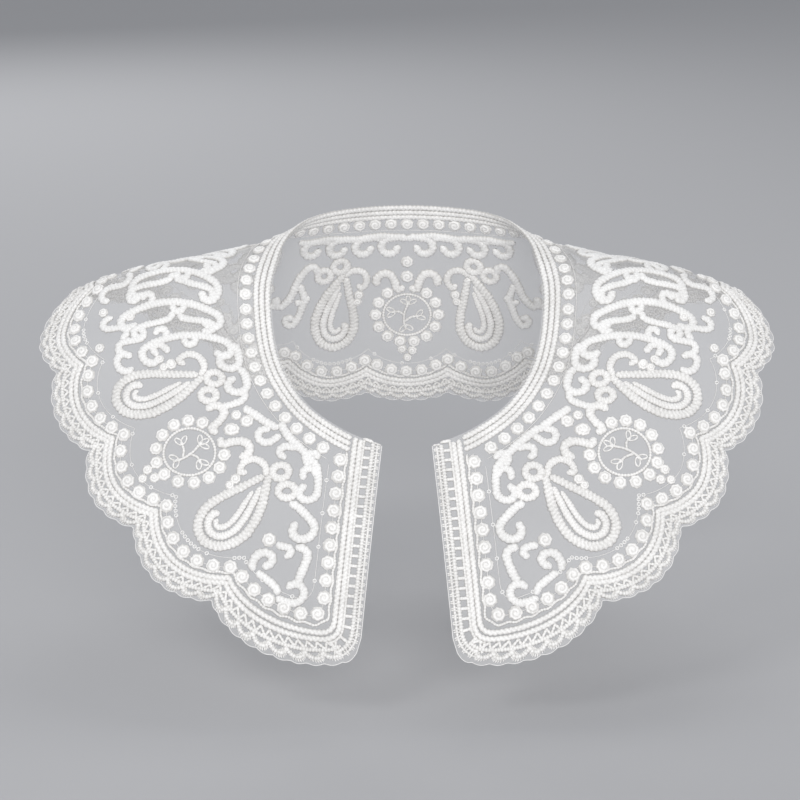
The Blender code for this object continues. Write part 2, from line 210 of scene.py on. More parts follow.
def surface(j, v):
    """Points and outward normals of the cloth."""
    j = np.asarray(j, dtype=float)
    v = np.asarray(v, dtype=float)
    step_j = np.where(j > 0, -0.02, 0.02)
    step_v = 0.01
    spot = middle(j, v)
    across = (middle(j + step_j, v) - spot) * np.sign(step_j)[:, None]
    down = middle(j, v + step_v) - spot
    normal = unit(np.cross(down, across))
    facing = np.sum(normal * bulge_direction(j), axis=1)
    return spot, normal * np.where(facing < 0, -1.0, 1.0)[:, None]


def laid(anchor, points):
    """(j, v) of local mm points (a along the collar, b towards the hem) round an anchor."""
    points = np.asarray(points, dtype=float)
    j = np.full(len(points), float(anchor[0]))
    v = anchor[1] + points[:, 1] / depth(anchor[0])[0]
    return np.stack((j + points[:, 0] / run_per_scallop(j, v), v), axis=1)


def lobe(j):
    """One in the middle of a scallop and zero at its cusps."""
    count = np.interp(np.abs(j), (0.0, *CUSPS), (0.0, *(np.arange(len(CUSPS)) + 0.5)))
    return np.abs(np.cos(np.pi * count)) ** 0.8


def hem_v(j, inset):
    """v of a line that follows the scalloped hem at an inset."""
    t = np.clip((np.abs(j) - BACK_END_J) / (FRONT_START_J - BACK_END_J), 0, 1)
    share = t * t * (3 - 2 * t)
    drop, rise, gain = (a + (b - a) * share for a, b in (CUSP_DROP, SCALLOP_RISE, RISE_GAIN))
    rise = rise + LAST_SCALLOP_EXTRA * (1 - inset / DISC_INSET) * (np.abs(j) > CUSPS[-2])
    return 1 + ((rise + gain * inset) * lobe(j) - drop - inset) / depth(j)


def front_j(v, inset):
    """j of a line that runs down the front at an inset from the front edge."""
    v = np.atleast_1d(np.asarray(v, dtype=float))
    j = np.full(len(v), FRONT_J)
    for _ in range(3):
        j = FRONT_J - inset / run_per_scallop((FRONT_J + j) / 2, v)
    return j


# Border lines: distance from the edge of the cloth
FRONT_STEPS = 95
STEPS_PER_SCALLOP = 60
LEVELS = np.arange(0.0, 31.0, 1.0)
# Samples that the front corner is rounded over: at the edge, less per mm of inset up to an
# inset, and more per mm beyond another one
CORNER_REACH = (12, 0.45, 13, 0.5, 16)


def border_grid():
    """(j, v) along the right front, the hem and the left front, one row per level."""
    rows = []
    hem_t = np.linspace(-FRONT_J, FRONT_J, round(2 * FRONT_J * STEPS_PER_SCALLOP) + 1)
    for inset in LEVELS:
        corner = np.array((FRONT_J,))
        for _ in range(6):
            v_corner = hem_v(corner, inset)
            corner = front_j(v_corner, inset)
        v = np.linspace(0, 1, FRONT_STEPS, endpoint=False) * v_corner[0]
        down = np.stack((-front_j(v, inset), v), axis=1)
        beyond = np.maximum(np.abs(hem_t) - CUSPS[-2], 0) / (FRONT_J - CUSPS[-2])
        hem_j = np.minimum(np.abs(hem_t), CUSPS[-2]) + beyond * (corner[0] - CUSPS[-2])
        hem_j *= np.sign(hem_t)
        hem = np.stack((hem_j, hem_v(hem_j, inset)), axis=1)
        up = down[::-1] * np.array((-1, 1))
        path = np.vstack((down, hem, up))
        widest, less, less_to, more, more_from = CORNER_REACH
        reach = round(widest - less * min(inset, less_to) + more * max(inset - more_from, 0))
        eased = path.copy()
        for turn in (FRONT_STEPS, len(path) - 1 - FRONT_STEPS):
            for i in range(turn - 2 * reach, turn + 2 * reach + 1):
                window = path[i - reach:i + reach + 1].mean(axis=0)
                share = min(max(2 - abs(i - turn) / (0.9 * reach), 0), 1)
                eased[i] = path[i] + (window - path[i]) * share
        rows.append(eased)
    return np.array(rows)


BORDER = border_grid()


def on_border(t, inset):
    """(j, v) at border station t, in samples, and an inset in mm."""
    t = np.clip(np.asarray(t, dtype=float), 0, BORDER.shape[1] - 1.001)
    level = np.clip(np.asarray(inset, dtype=float) + np.zeros_like(t), 0, len(LEVELS) - 1.001)
    k, i = level.astype(int), t.astype(int)
    a, b = (level - k)[:, None], (t - i)[:, None]
    return ((BORDER[k, i] * (1 - b) + BORDER[k, i + 1] * b) * (1 - a)
            + (BORDER[k + 1, i] * (1 - b) + BORDER[k + 1, i + 1] * b) * a)


def arc_lengths(spots):
    """Distance along a row of points."""
    return np.concatenate(((0.0,), np.cumsum(np.linalg.norm(np.diff(spots, axis=0), axis=1))))


def stations(inset, pitch):
    """Border stations at an even pitch along the line at an inset."""
    t = np.arange(BORDER.shape[1] - 1, dtype=float)
    spots, _ = surface(*on_border(t, inset).T)
    reach = arc_lengths(spots)
    count = max(1, round(reach[-1] / pitch))
    goals = reach[-1] * np.arange(count + 1) / count
    return np.interp(goals, reach, t)


def even_path(jv, step):
    """Path of (j, v) at even steps along the cloth."""
    spots, _ = surface(*jv.T)
    reach = arc_lengths(spots)
    count = max(2, round(reach[-1] / step))
    goals = reach[-1] * np.arange(count + 1) / count
    return np.stack((np.interp(goals, reach, jv[:, 0]), np.interp(goals, reach, jv[:, 1])), axis=1)


STEPS_PER_SPAN = 12


def smooth_curve(points):
    """Smooth curve through table rows of any width."""
    p = np.asarray(points, dtype=float)
    padded = np.vstack((2 * p[0] - p[1], p, 2 * p[-1] - p[-2]))
    t = np.linspace(0, 1, STEPS_PER_SPAN, endpoint=False)[:, None]
    spans = []
    for i in range(len(p) - 1):
        a, b, c, d = padded[i:i + 4]
        spans.append(0.5 * (2 * b + (c - a) * t + (2 * a - 5 * b + 4 * c - d) * t**2
                            + (3 * b - a - 3 * c + d) * t**3))
    spans.append(p[-1:])
    return np.vstack(spans)


# Yarns: half width, height of the outer side, pitch of its knots, depth of the knots,
# depth of the groove along its middle
SATIN = (2.3, 1.35, 1.9, 0.11, 0.18)
SLIM = (2.1, 1.25, 1.8, 0.11, 0.18)
BEADED = (2.4, 1.3, 2.1, 0.14, 0.30)
COMBED = (2.05, 1.15, 1.6, 0.11, 0.22)
CHAIN = (1.42, 1.05, 2.2, 0.13, 0.10)
FUZZY = (1.15, 0.95, 1.5, 0.24, 0.0)
THIN = (0.75, 0.7, 1.5, 0.18, 0.0)
STITCH = (0.78, 0.65, 1.2, 0.14, 0.0)
RUNG = (0.95, 0.7, 1.3, 0.14, 0.0)
WISP = (0.48, 0.45, 0.9, 0.12, 0.0)
THREAD = (0.19, 0.19, 1.0, 0.0, 0.0)
SEQUIN = (0.32, 0.26, 1.0, 0.0, 0.0)

# Thread with sequins: distance from the edge, and the j where they sit close together
SEQUIN_INSET = 25.6
SEQUIN_RUNS = ((7.55, 7.80), (8.00, 8.20), (8.45, 8.60), (0.75, 1.20), (4.0, 4.2), (5.3, 5.5))


# Mesh of a cord: longest step of a fine one, steps per knot, step of a coarse one and the
# most sides that a coarse one has
FINE_STEP = 0.5
STEPS_PER_KNOT = 3.5
COARSE_STEP = 0.72
COARSE_SIDES = 6

# Hand-worked look of a cord: how far its knots wander in radians and how often along it, how
# they fade and come back (steady share, waving share, radians per mm), and how the cord swells
# (share, radians per mm, start)
WANDER = (0.7, 5)
KNOT_FADE = (0.8, 0.2, 1.9)
SWELLS = ((0.05, 0.83, 1.3), (0.04, 2.3, 0.0))
TALLEST_SWELL = 1.15
GROOVE_WIDTH = 0.38

# Painted shade on a cord: the brightness painted at its sides, where it meets the cloth, and how
# much painted shade a hollow between knots, the groove and the groove's hollows take off
SIDE_PAINTED_BRIGHTNESS = 0.30
SIDE_PAINTED_SHADE_POWER = 0.7
HOLLOW_PAINTED_SHADE = 0.42
GROOVE_PAINTED_SHADE = 0.12
GROOVE_HOLLOW_PAINTED_SHADE = 0.55


def cord(jv, yarn, sides=10, closed=False, widths=None, lift=0.0):
    """Knotted cord worked through the cloth along a path of (j, v)."""
    half, rise, pitch, knot, groove = yarn
    step = min(FINE_STEP, pitch / STEPS_PER_KNOT) if sides > COARSE_SIDES else COARSE_STEP
    length = arc_lengths(surface(*jv.T)[0])[-1]
    source = even_path(jv, step)
    spots, normals = surface(*source.T)
    spots = spots + normals * lift
    reach = arc_lengths(spots)
    if closed:
        source, spots, normals, reach = source[:-1], spots[:-1], normals[:-1], reach[:-1]
        tangents = unit(np.roll(spots, -1, axis=0) - np.roll(spots, 1, axis=0))
        swell = np.ones(len(spots))
    else:
        tangents = unit(np.gradient(spots, axis=0))
        near = np.minimum(reach, reach[-1] - reach) / half
        swell = np.sqrt(np.clip(1 - (1 - np.clip(near, 0.04, 1))**2, 0, 1))
    if widths is not None:
        share = np.linspace(0, 1, len(widths))
        swell = swell * np.interp(reach / length, share, np.asarray(widths) / half)
    side = unit(np.cross(normals, tangents))
    turns = max(1, round(length / pitch)) if closed else length / pitch
    around = 2 * np.pi * reach / length
    phase = around * turns + WANDER[0] * np.sin(around * WANDER[1])
    angle = 2 * np.pi * np.arange(sides) / sides
    across, up = np.cos(angle), np.sin(angle)
    ripple = np.cos(phase[:, None] + np.where(across > 0, np.pi, 0) * (groove > 0))
    steady, waving, pace = KNOT_FADE
    ripple = ripple * (steady + waving * np.sin(pace * reach))[:, None]
    swell = swell * (1 + sum(share * np.sin(pace * reach + start)
                             for share, pace, start in SWELLS))
    bump = 1 + knot * ripple
    in_groove = np.exp(-(across / GROOVE_WIDTH)**2)
    width = (half * swell)[:, None] * bump * across
    height = (rise * np.minimum(swell, TALLEST_SWELL))[:, None] * bump * up
    height = height * (1 - groove * in_groove)
    rings = (spots[:, None] + side[:, None] * width[..., None]
             + normals[:, None] * height[..., None])
    n = len(rings)
    i = np.arange(n if closed else n - 1)[:, None]
    k = np.arange(sides)[None, :]
    after, m = (i + 1) % n, (k + 1) % sides
    faces = np.stack(np.broadcast_arrays(
        i * sides + k, i * sides + m, after * sides + m, after * sides + k), axis=-1)
    # Painted shade: darker at the sides where the cord meets the cloth, in the hollows between
    # knots and in the groove
    hollow = (0.5 - 0.5 * ripple) * min(1.0, 5 * knot)
    dip = in_groove * min(1.0, 3 * groove)
    painted_shading = SIDE_PAINTED_BRIGHTNESS + (1 - SIDE_PAINTED_BRIGHTNESS) * np.abs(up)**SIDE_PAINTED_SHADE_POWER
    painted_shading = painted_shading * (1 - HOLLOW_PAINTED_SHADE * hollow)
    painted_shading = painted_shading * (1 - dip * (GROOVE_PAINTED_SHADE + GROOVE_HOLLOW_PAINTED_SHADE * hollow))
    return rings.reshape(-1, 3), faces.reshape(-1, 4), painted_shading.reshape(-1)


# Rosettes: rings of the mesh as shares of the radius, its sides, turns of the spiral, height,
# relief of the spiral, fall towards the rim, petals of the rim, their size and where they start
DISC_SHARES = (0.0, 0.10, 0.20, 0.30, 0.40, 0.50, 0.60, 0.70, 0.80, 0.88, 0.95, 1.0)
DISC_SIDES = 18
DISC_WINDS = 1.9
DISC_RISE = 1.25
WIND_RELIEF = 0.14
DISC_FALL = 0.25
PETALS = 7
PETAL_SIZE = 0.08
PETALS_FROM = 0.75
PLAIN_RIM_FROM = 0.9

# Painted shade on a rosette: the least brightness, the brightness of its middle height, what the
# spiral's painted shade adds or takes off, and the painted shade that the rim takes off
DISC_LEAST_PAINTED_BRIGHTNESS = 0.10
DISC_PAINTED_BRIGHTNESS = 0.80
WIND_PAINTED_SHADE = 0.24
RIM_PAINTED_SHADE = 0.45


def disc(jv, radius, turn=0.0):
    """Rosette of spiralled yarn worked through the cloth."""
    spot, normal = surface(np.array((jv[0],)), np.array((jv[1],)))
    ahead, _ = surface(np.array((jv[0] - 0.01 * np.sign(jv[0] + 1e-9),)), np.array((jv[1],)))
    east = unit(ahead - spot)[0]
    normal = normal[0]
    north = np.cross(normal, east)
    angle = 2 * np.pi * np.arange(DISC_SIDES) / DISC_SIDES
    verts = []
    painted_shading = []
    for face in (1, -1):
        for share in (DISC_SHARES if face > 0 else DISC_SHARES[-2::-1]):
            wind = np.cos(2 * np.pi * DISC_WINDS * share - angle * face + turn)
            wind = wind * min(1.0, 4 * share) * (share < PLAIN_RIM_FROM)
            petals = 1 + PETAL_SIZE * np.cos(PETALS * angle + turn) * (share > PETALS_FROM)
            r = radius * share * petals
            h = 1.0 + WIND_RELIEF * wind - DISC_FALL * share**2
            h = h * DISC_RISE * face * math.sqrt(1 - share**4)
            ring = (spot + np.outer(r * np.cos(angle), east) + np.outer(r * np.sin(angle), north)
                    + np.outer(h, normal))
            verts.append(ring)
            # Painted shade: darker along the low turns of the spiral and towards the rim where the
            # rosette meets the cloth, lighter where the petals stand out
            lit = (DISC_PAINTED_BRIGHTNESS + WIND_PAINTED_SHADE * wind) * (1 - RIM_PAINTED_SHADE * share**8) * petals
            painted_shading.append(DISC_LEAST_PAINTED_BRIGHTNESS + (1 - DISC_LEAST_PAINTED_BRIGHTNESS) * lit)
    rows = len(verts)
    i = np.arange(rows - 1)[:, None]
    k = np.arange(DISC_SIDES)[None, :]
    m = (k + 1) % DISC_SIDES
    faces = np.stack(np.broadcast_arrays(
        i * DISC_SIDES + k, i * DISC_SIDES + m, (i + 1) * DISC_SIDES + m,
        (i + 1) * DISC_SIDES + k), axis=-1).reshape(-1, 4)
    return np.vstack(verts), faces, np.concatenate(painted_shading)


def joined(parts):
    """One set of verts, faces and painted shading from several."""
    verts, faces, painted_shadings, base = [], [], [], 0
    for part_verts, part_faces, part_painted_shading in parts:
        verts.append(part_verts)
        faces.append(part_faces + base)
        painted_shadings.append(part_painted_shading)
        base += len(part_verts)
    return np.vstack(verts), np.vstack(faces), np.concatenate(painted_shadings)


def piece(name, parts, material, slot, *nodes):
    """Smooth mesh piece that rides on the collar and stands for the named solids."""
    verts, faces, painted_shading = joined(parts)
    mesh = bpy.data.meshes.new(name)
    mesh.from_pydata((verts * MM).tolist(), [], faces.tolist())
    mesh.update()
    # Painted shade per vertex, read by the yarn material's colour ramp
    mesh.attributes.new("painted_shading", "FLOAT", "POINT").data.foreach_set("value", painted_shading)
    mesh.shade_smooth()
    mesh.materials.append(material)
    obj = bpy.data.objects.new(name, mesh)
    bpy.context.scene.collection.objects.link(obj)
    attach(obj, "root")
    if nodes:
        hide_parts(*nodes)
    return obj


# Materials
def node(tree, kind, **inputs):
    """Shader node with its inputs set."""
    made = tree.nodes.new(kind)
    for key, value in inputs.items():
        made.inputs[key.replace("_", " ")].default_value = value
    return made


def yarn_material(name, pale, shade, fibre_scale, roughness):
    """Off-white yarn: fine fibres, small patches, and painted shade, darker and warmer between its
    knots, from the painted_shading attribute.
    """
    material = bpy.data.materials.new(name)
    material.use_nodes = True
    tree = material.node_tree
    shader = tree.nodes["Principled BSDF"]
    shader.inputs["Roughness"].default_value = roughness
    shader.inputs["Specular IOR Level"].default_value = 0.25
    shader.inputs["Sheen Weight"].default_value = 0.25
    shader.inputs["Sheen Roughness"].default_value = 0.5
    place_node = tree.nodes.new("ShaderNodeTexCoord")
    fibres = node(tree, "ShaderNodeTexNoise", Scale=fibre_scale, Detail=3.0, Roughness=0.6)
    patches = node(tree, "ShaderNodeTexNoise", Scale=70.0, Detail=2.0)
    tree.links.new(place_node.outputs["Object"], fibres.inputs["Vector"])
    tree.links.new(place_node.outputs["Object"], patches.inputs["Vector"])
    # Painted shade per vertex
    painted_shading = tree.nodes.new("ShaderNodeAttribute")
    painted_shading.attribute_name = "painted_shading"
    mottle = node(tree, "ShaderNodeMapRange", From_Min=0.3, From_Max=0.7, To_Min=0.72, To_Max=1.12)
    tree.links.new(fibres.outputs["Fac"], mottle.inputs["Value"])
    # Painted shade times the fibres' random tone
    lit = node(tree, "ShaderNodeMath")
    lit.operation = "MULTIPLY"
    tree.links.new(painted_shading.outputs["Fac"], lit.inputs[0])
    tree.links.new(mottle.outputs["Result"], lit.inputs[1])
    worn = node(tree, "ShaderNodeMapRange", From_Min=0.3, From_Max=0.7, To_Min=0.88, To_Max=1.08)
    tree.links.new(patches.outputs["Fac"], worn.inputs["Value"])
    mixed = node(tree, "ShaderNodeMath")
    mixed.operation = "MULTIPLY"
    tree.links.new(lit.outputs[0], mixed.inputs[0])
    tree.links.new(worn.outputs["Result"], mixed.inputs[1])
    # Ramp from the painted shade colour, which the fibres' mottle also darkens towards, to the
    # pale colour
    ramp = tree.nodes.new("ShaderNodeValToRGB")
    ramp.color_ramp.elements[0].position = 0.15
    ramp.color_ramp.elements[0].color = (*shade, 1)
    ramp.color_ramp.elements[1].position = 0.85
    ramp.color_ramp.elements[1].color = (*pale, 1)
    tree.links.new(mixed.outputs[0], ramp.inputs["Fac"])
    tree.links.new(ramp.outputs["Color"], shader.inputs["Base Color"])
    bump = node(tree, "ShaderNodeBump", Strength=0.6, Distance=0.0004)
    tree.links.new(fibres.outputs["Fac"], bump.inputs["Height"])
    tree.links.new(bump.outputs["Normal"], shader.inputs["Normal"])
    return material


def organza_material():
    """Sheer crisp weave that shows what lies behind it."""
    material = bpy.data.materials.new("organza")
    material.use_nodes = True
    tree = material.node_tree
    shader = tree.nodes["Principled BSDF"]
    shader.inputs["Base Color"].default_value = (0.90, 0.89, 0.88, 1)
    shader.inputs["Roughness"].default_value = 0.42
    shader.inputs["Sheen Weight"].default_value = 0.6
    shader.inputs["Sheen Roughness"].default_value = 0.3
    shader.inputs["Alpha"].default_value = 0.24
    place_node = tree.nodes.new("ShaderNodeTexCoord")
    warp = node(tree, "ShaderNodeTexWave", Scale=620.0, Distortion=0.6)
    warp.bands_direction = "X"
    weft = node(tree, "ShaderNodeTexWave", Scale=620.0, Distortion=0.6)
    weft.bands_direction = "Z"
    tree.links.new(place_node.outputs["Object"], warp.inputs["Vector"])
    tree.links.new(place_node.outputs["Object"], weft.inputs["Vector"])
    weave = node(tree, "ShaderNodeMath")
    weave.operation = "ADD"
    tree.links.new(warp.outputs["Fac"], weave.inputs[0])
    tree.links.new(weft.outputs["Fac"], weave.inputs[1])
    bump = node(tree, "ShaderNodeBump", Strength=0.25, Distance=0.0001)
    tree.links.new(weave.outputs[0], bump.inputs["Height"])
    tree.links.new(bump.outputs["Normal"], shader.inputs["Normal"])
    return material


# Shapes of the motifs, local mm: a along the collar, b towards the hem
PAISLEY_RIM = (
    (1.0, -3.0, 1.9),
    (-2.6, 3.5, 2.4),
    (-6.6, 11.0, 2.5),
    (-9.6, 20.0, 2.5),
    (-10.4, 29.0, 2.5),
    (-6.9, 37.6, 2.5),
    (0.3, 41.0, 2.5),
    (7.5, 37.6, 2.5),
    (10.4, 29.5, 2.5),
    (8.8, 20.0, 2.4),
    (6.0, 11.5, 2.3),
    (3.9, 4.5, 2.1),
    (2.2, -1.0, 1.9),
)
PAISLEY_OUTER_HOOK = (
    (-0.2, 4.0, 1.4),
    (-2.6, 11.0, 1.8),
    (-5.0, 19.5, 1.95),
    (-5.9, 28.0, 1.95),
    (-3.6, 34.2, 1.95),
    (0.8, 36.0, 1.95),
    (4.8, 33.6, 2.0),
    (6.0, 29.2, 2.1),
    (4.2, 26.4, 2.1),
)
PAISLEY_INNER_HOOK = (
    (0.8, 8.0, 1.1),
    (-0.4, 14.0, 1.4),
    (-1.9, 21.0, 1.6),
    (-2.2, 27.5, 1.6),
    (-0.4, 31.4, 1.6),
    (2.2, 31.2, 1.6),
    (3.0, 29.0, 1.4),
)
PAISLEY_LOOPS = (
    (-9.6, -1.6, 3.6),
    (-1.6, -7.6, 3.6),
)
PAISLEY_CROWN = (
    (1.6, -1.6, 1.6),
    (5.4, -5.0, 2.0),
    (10.6, -4.0, 2.0),
    (13.2, 0.8, 2.0),
    (11.6, 5.4, 1.9),
    (8.6, 3.4, 1.7),
)
PAISLEY_PENDANTS = ((10.4, 9.6, 2.7), (10.2, 13.6, 2.3))

# name, j and v of the tip, side that the hook turns to, spread
PAISLEYS = (
    ("back_right", -0.98, 0.383, 1, 1.0),
    ("back_left", 0.98, 0.383, -1, 1.0),
    ("shoulder_right", -6.3, 0.375, 1, 1.1),
    ("shoulder_left", 6.3, 0.375, -1, 1.1),
    ("front_right", -8.17, 0.388, 1, 1.1),
    ("front_left", 8.17, 0.388, -1, 1.1),
)
MEDALLIONS = (
    ("back", 0.0, 0.575),
    ("right", -7.25, 0.56),
    ("left", 7.25, 0.56),
)
MEDALLION_RING = 12.2
MEDALLION_DISC_RING = 16.2
MEDALLION_DISCS = 12
MEDALLION_DISC_ARC = 284.0
MEDALLION_DISC_RADIUS = 3.4
MEDALLION_ARCH_WIDENING = 1.15
MEDALLION_ARCHES = (
    (1.2, -16.4, 1.8),
    (5.0, -15.0, 1.9),
    (6.2, -19.4, 2.0),
    (8.6, -23.8, 2.1),
    (12.4, -24.6, 2.1),
    (15.4, -21.4, 2.1),
    (15.0, -17.2, 1.9),
)
MEDALLION_EXTRAS = ((0.0, -22.6, 3.5), (0.0, -31.4, 3.4), (-2.6, 20.6, 2.6), (2.8, 21.4, 2.6),
                    (0.2, 25.6, 2.4))

# Sprig in the middle of a medallion: stems as rows of a and b, leaves as a, b and angle
LEAF_LENGTH = 4.75
LEAF_HALF_WIDTH = 1.15
SPRIG_STEMS = (
    ((-0.5, -1.6, -1.2, 0.6), (9.0, 4.0, -1.5, -6.5)),
    ((-1.5, 2.0, 5.0), (4.2, 1.6, 1.0)),
    ((-1.3, -4.4, -6.4), (0.2, -1.8, -1.6)),
)
SPRIG_LEAVES = (
    (0.6, -6.5, -1.57),
    (0.6, -6.5, -2.6),
    (0.6, -6.5, -0.5),
    (5.0, 1.0, 0.3),
    (5.0, 1.0, -0.9),
    (-6.4, -1.6, 2.5),
    (-6.4, -1.6, -2.6),
    (-0.8, 6.4, 2.2),
    (-0.8, 6.4, 0.6),
)

# Scrolls on the left half, each repeated on the right half.
# name, j, mm below the neck edge, heading of the stem in degrees, half stem in mm,
# curl of first end and of last end in degrees, size of the curls
SCROLLS = (
    ("neck_1", 7.33, 22.6, -16, 9.5, 25, 0, 1.0),
    ("neck_2", 8.05, 19.2, 3, 14.0, 0, 50, 1.0),
    ("vine_1", 1.70, 49.0, 90, 13.5, 230, -240, 0.55),
    ("vine_2", 2.24, 44.0, 90, 15.5, -270, 240, 0.9),
    ("vine_3", 2.70, 41.5, 90, 14.5, -270, -240, 0.9),
    ("vine_4", 3.17, 41.0, 90, 14.0, -270, 240, 0.9),
    ("vine_5", 3.65, 41.0, 90, 14.0, -270, -240, 0.9),
    ("vine_6", 4.13, 42.0, 90, 15.0, -270, 240, 0.9),
    ("vine_7", 4.62, 46.0, 90, 19.0, -270, -240, 0.95),
    ("vine_8", 5.08, 49.0, 91, 23.0, -270, -260, 0.95),
    ("vine_9", 5.61, 44.0, 90, 19.5, -270, -265, 0.95),
    ("front_1", 8.79, 45.2, 22, 5.0, 60, 285, 1.12),
    ("heart_1", 8.62, 75.5, 88, 1.2, -265, -80, 0.8),
    ("heart_2", 8.99, 70.0, 92, 6.5, 150, 0, 0.85),
)
GARLAND_INSET = 19.0
GARLAND_PITCH = 13.6
GARLAND_GAP = (2.0, 5.95)
GARLAND_END_J = 6.75
GARLAND_UNIT = (8, 2.4, 70, 285)

# Line that joins the garland at the back: where it starts, mm above the garland, height of its
# waves, and their length in scallops
RUN_START_J = 0.18
RUN_ABOVE = 0.4
RUN_WAVE = 0.7
RUN_WAVE_J = 0.9

# Scrolls between the others, in the same columns: j, mm below the neck edge, heading,
# half stem in mm, curl of first end and of last end in degrees, size
FILLERS = (
    (6.88, 32.0, 96, 5.0, 110, 0, 0.95),
    (7.76, 23.2, 88, 2.4, 0, 265, 0.85),
    (5.86, 78.0, 0, 0.6, -170, -150, 0.85),
    (5.78, 53.0, 150, 2.0, 0, -235, 0.6),
    (5.37, 37.0, 96, 6.0, -250, 100, 0.62),
    (5.38, 58.5, 84, 7.5, 120, -255, 0.66),
    (5.38, 78.0, 90, 3.0, -190, 215, 0.75),
    (5.60, 70.0, 92, 3.6, 190, -225, 0.68),
    (4.84, 36.0, 96, 6.0, -250, 100, 0.64),
    (4.84, 59.5, 86, 8.0, 120, -255, 0.66),
    (4.82, 78.0, 90, 3.0, 190, -215, 0.75),
    (4.37, 34.5, 96, 4.5, -250, 100, 0.62),
    (4.38, 54.0, 86, 5.0, 120, -255, 0.62),
    (4.37, 74.0, 90, 3.0, -190, 215, 0.75),
    (3.89, 33.5, 96, 4.0, -250, 100, 0.60),
    (3.90, 52.0, 86, 4.5, 120, -255, 0.60),
    (3.41, 33.0, 96, 4.0, -250, 100, 0.60),
    (3.42, 51.0, 86, 4.5, 120, -255, 0.60),
    (2.93, 33.0, 96, 4.0, -250, 100, 0.60),
    (2.94, 51.0, 86, 4.5, 120, -255, 0.60),
    (2.47, 34.5, 96, 4.5, -250, 100, 0.60),
    (2.48, 53.5, 86, 5.0, 120, -255, 0.60),
    (2.30, 76.0, 90, 3.0, 190, -215, 0.75),
    (8.06, 21.6, -30, 2.2, 215, 0, 0.62),
    (8.44, 23.8, 24, 1.6, -235, 0, 0.62),
    (8.51, 30.4, 50, 1.4, -235, 0, 0.6),
    (8.70, 27.6, 58, 6.5, 30, 270, 0.9),
    (8.75, 63.8, -14, 2.6, 0, 190, 0.5),
    (8.97, 86.2, -4, 1.8, -40, -268, 1.02),
    (8.775, 80.8, 14, 5.6, 0, 72, 0.9),
    (1.50, 63.0, 88, 9.0, 40, -320, 0.55),
    (1.56, 51.0, 125, 4.5, 0, -200, 0.5),
)

# Curls that branch off each vine: share of the half stem, heading, half stem, curl, size
BRANCHES = ((-0.25, -25, 1.0, 250, 0.6), (0.45, 205, 1.0, -230, 0.55))

# Small rosettes: j, mm below the neck edge, radius
SPOTS = (
    (8.63, 64.4, 3.5),
    (7.28, 36.5, 3.1),
    (7.08, 31.5, 2.7),
    (5.98, 52.0, 2.4),
    (5.90, 57.0, 2.4),
    (5.62, 86.0, 2.6),
    (5.24, 70.0, 2.6),
    (5.13, 84.0, 2.6),
    (4.60, 82.0, 2.8),
    (4.13, 77.0, 2.8),
    (3.65, 70.0, 2.8),
    (3.17, 69.0, 2.8),
    (2.70, 71.0, 2.8),
    (1.98, 78.0, 2.4),
)

# Scrolls: radius where a curl starts and where it ends, bend of the stem per mm, step in mm
CURL_WIDE = 5.2
CURL_TIGHT = 3.3
STEM_BEND = 0.02
SCROLL_STEP = 0.25


def scroll_shape(heading, stem, first, last):
    """Local path of a stem that curls up at both ends, on one side or on both."""
    path = [(0.0, 0.0)]
    for curl, direction in ((last, 1), (first, -1)):
        angle = math.radians(heading)
        goal = math.radians(abs(curl))
        turned = length = x = y = 0.0
        side = []
        while length < stem or turned < goal:
            radius = CURL_WIDE + (CURL_TIGHT - CURL_WIDE) * turned / max(goal, 0.1)
            bend = STEM_BEND if length < stem else 1 / radius
            turned += bend * SCROLL_STEP
            length += SCROLL_STEP
            angle += math.copysign(bend * SCROLL_STEP, curl) * direction
            x += math.cos(angle) * SCROLL_STEP * direction
            y += math.sin(angle) * SCROLL_STEP * direction
            side.append((x, y))
        path = path + side if direction > 0 else side[::-1] + path
    return np.array(path)


def ring_shape(a, b, radius, count=48):
    """Closed local ring."""
    angle = 2 * np.pi * np.arange(count + 1) / count
    return np.stack((a + radius * np.cos(angle), b + radius * np.sin(angle)), axis=1)


